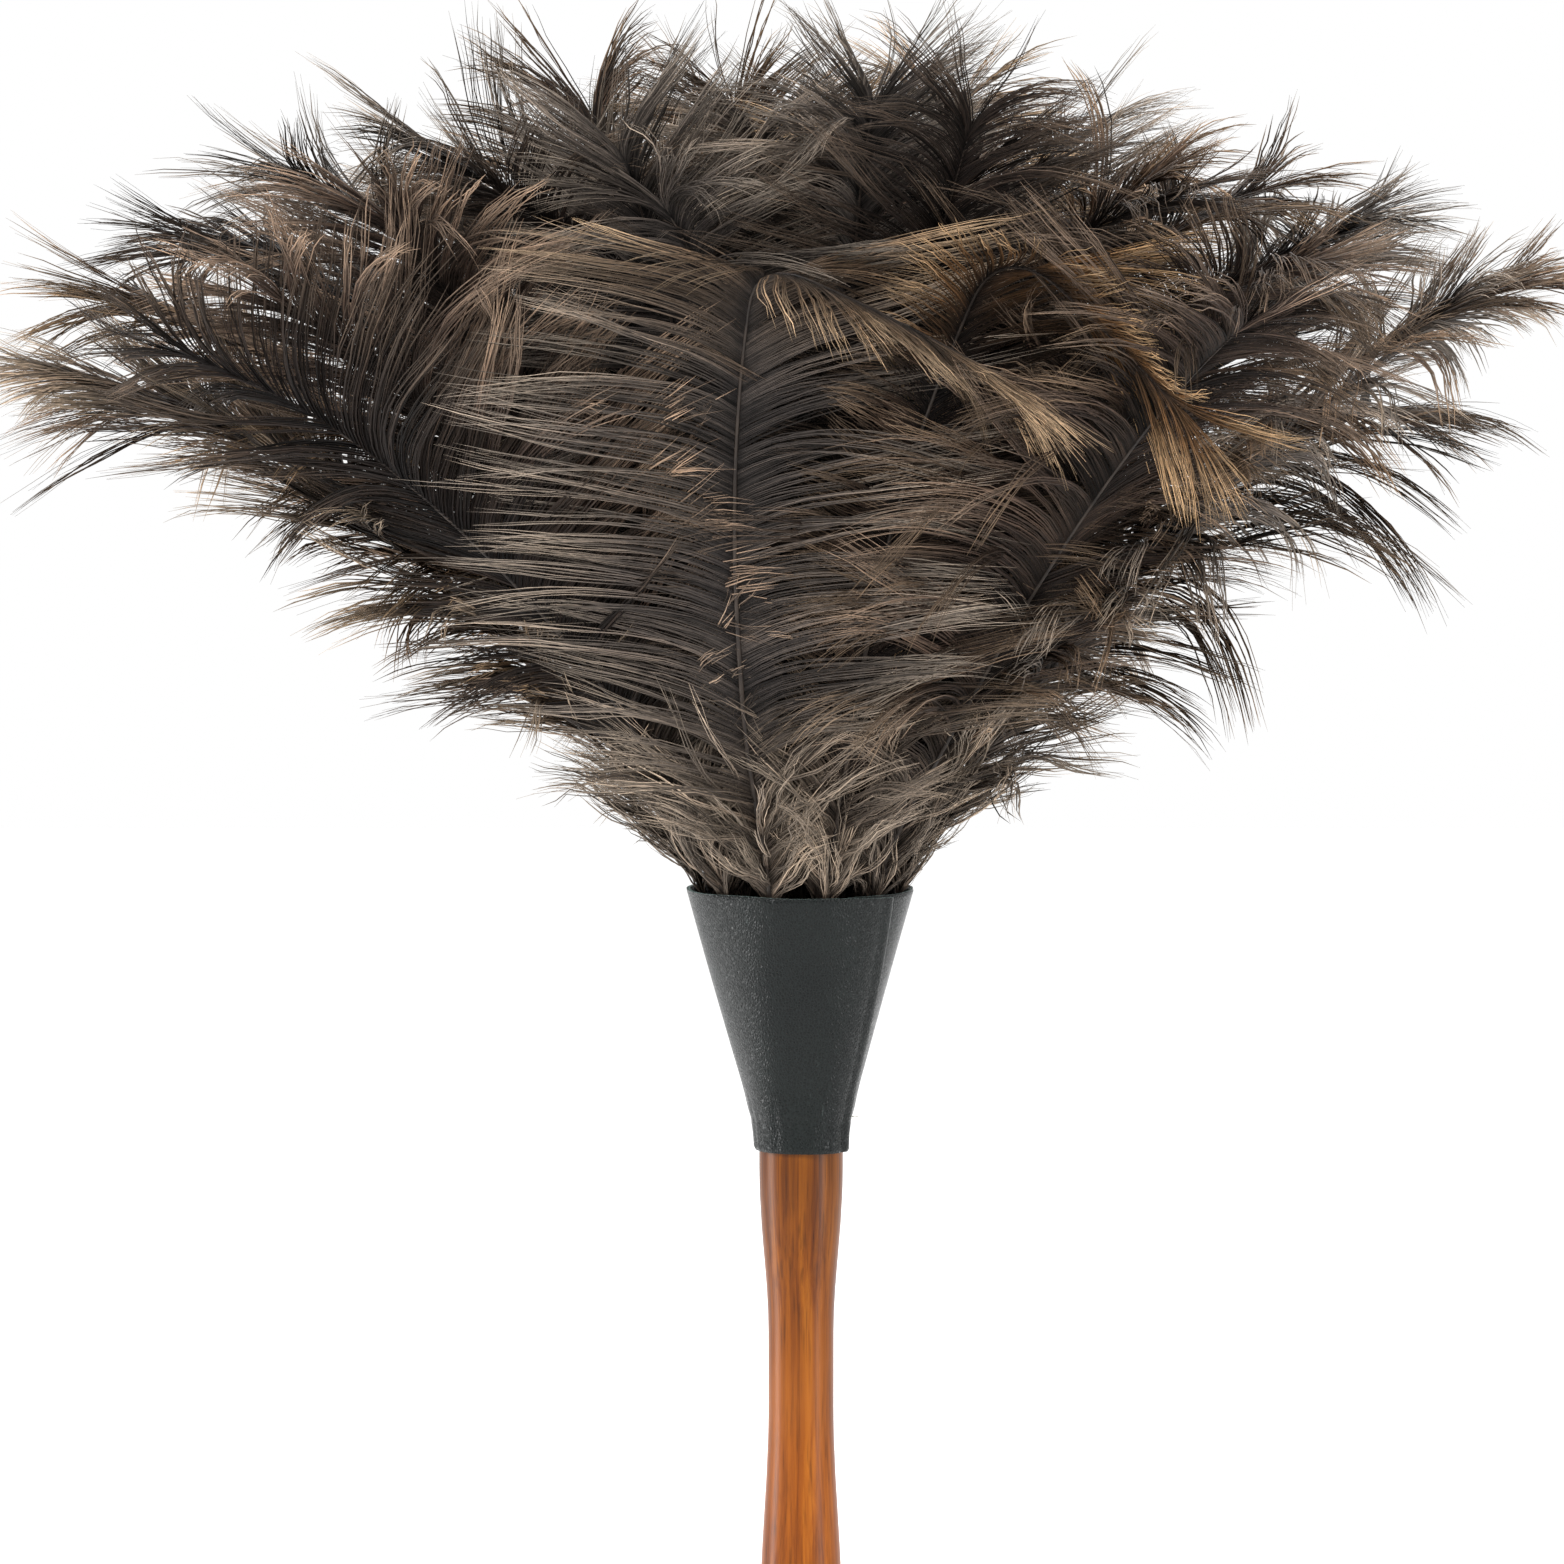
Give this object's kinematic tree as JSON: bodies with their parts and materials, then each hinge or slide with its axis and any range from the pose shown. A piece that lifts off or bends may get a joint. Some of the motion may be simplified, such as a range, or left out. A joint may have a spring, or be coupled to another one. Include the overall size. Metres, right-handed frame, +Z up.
{
  "type": "feather duster",
  "caption": "Feather duster with a waisted turned wooden handle, a wrapped leather collar and a dome of long, soft, drooping plumes tied on in rings.",
  "frame": {"origin": "middle of the flat butt end of the handle, on the handle's axis", "axes": "+Z up the handle towards the feathers; -Y towards the front; Y along the hanging hole"},
  "size_m": [0.3822, 0.3064, 0.5064],
  "materials": {
    "handle_wood": "turned hardwood, orange-brown stain, satin lacquer",
    "collar_leather": "fine-grained green-black leather, semi-gloss",
    "seam_thread": "waxed sewing thread",
    "binding_cord": "waxed linen cord",
    "plume_brown": "soft plume, brown with golden tips",
    "plume_grey": "soft plume, drab grey-brown",
    "plume_dark": "soft plume, near-black brown"
  },
  "bodies": {
    "root": {"binding_crown": "binding_cord", "binding_inner": "binding_cord", "binding_lower": "binding_cord", "binding_middle": "binding_cord", "binding_outer": "binding_cord", "binding_upper": "binding_cord", "collar": "collar_leather", "feather_crown_01": "plume_grey", "feather_crown_02": "plume_dark", "feather_crown_03": "plume_brown", "feather_crown_04": "plume_grey", "feather_crown_05": "plume_dark", "feather_inner_01": "plume_grey", "feather_inner_02": "plume_dark", "feather_inner_03": "plume_brown", "feather_inner_04": "plume_grey", "feather_inner_05": "plume_dark", "feather_inner_06": "plume_brown", "feather_inner_07": "plume_grey", "feather_lower_01": "plume_grey", "feather_lower_02": "plume_dark", "feather_lower_03": "plume_brown", "feather_lower_04": "plume_grey", "feather_lower_05": "plume_dark", "feather_lower_06": "plume_brown", "feather_lower_07": "plume_grey", "feather_lower_08": "plume_dark", "feather_lower_09": "plume_brown", "feather_lower_10": "plume_grey", "feather_middle_01": "plume_grey", "feather_middle_02": "plume_dark", "feather_middle_03": "plume_brown", "feather_middle_04": "plume_grey", "feather_middle_05": "plume_dark", "feather_middle_06": "plume_brown", "feather_middle_07": "plume_grey", "feather_middle_08": "plume_dark", "feather_middle_09": "plume_brown", "feather_outer_01": "plume_grey", "feather_outer_02": "plume_dark", "feather_outer_03": "plume_brown", "feather_outer_04": "plume_grey", "feather_outer_05": "plume_dark", "feather_outer_06": "plume_brown", "feather_outer_07": "plume_grey", "feather_outer_08": "plume_dark", "feather_outer_09": "plume_brown", "feather_outer_10": "plume_grey", "feather_outer_11": "plume_dark", "feather_upper_01": "plume_grey", "feather_upper_02": "plume_dark", "feather_upper_03": "plume_brown", "feather_upper_04": "plume_grey", "feather_upper_05": "plume_dark", "feather_upper_06": "plume_brown", "feather_upper_07": "plume_grey", "feather_upper_08": "plume_dark", "handle": "handle_wood", "seam_thread": "seam_thread"}
  },
  "joints": []
}
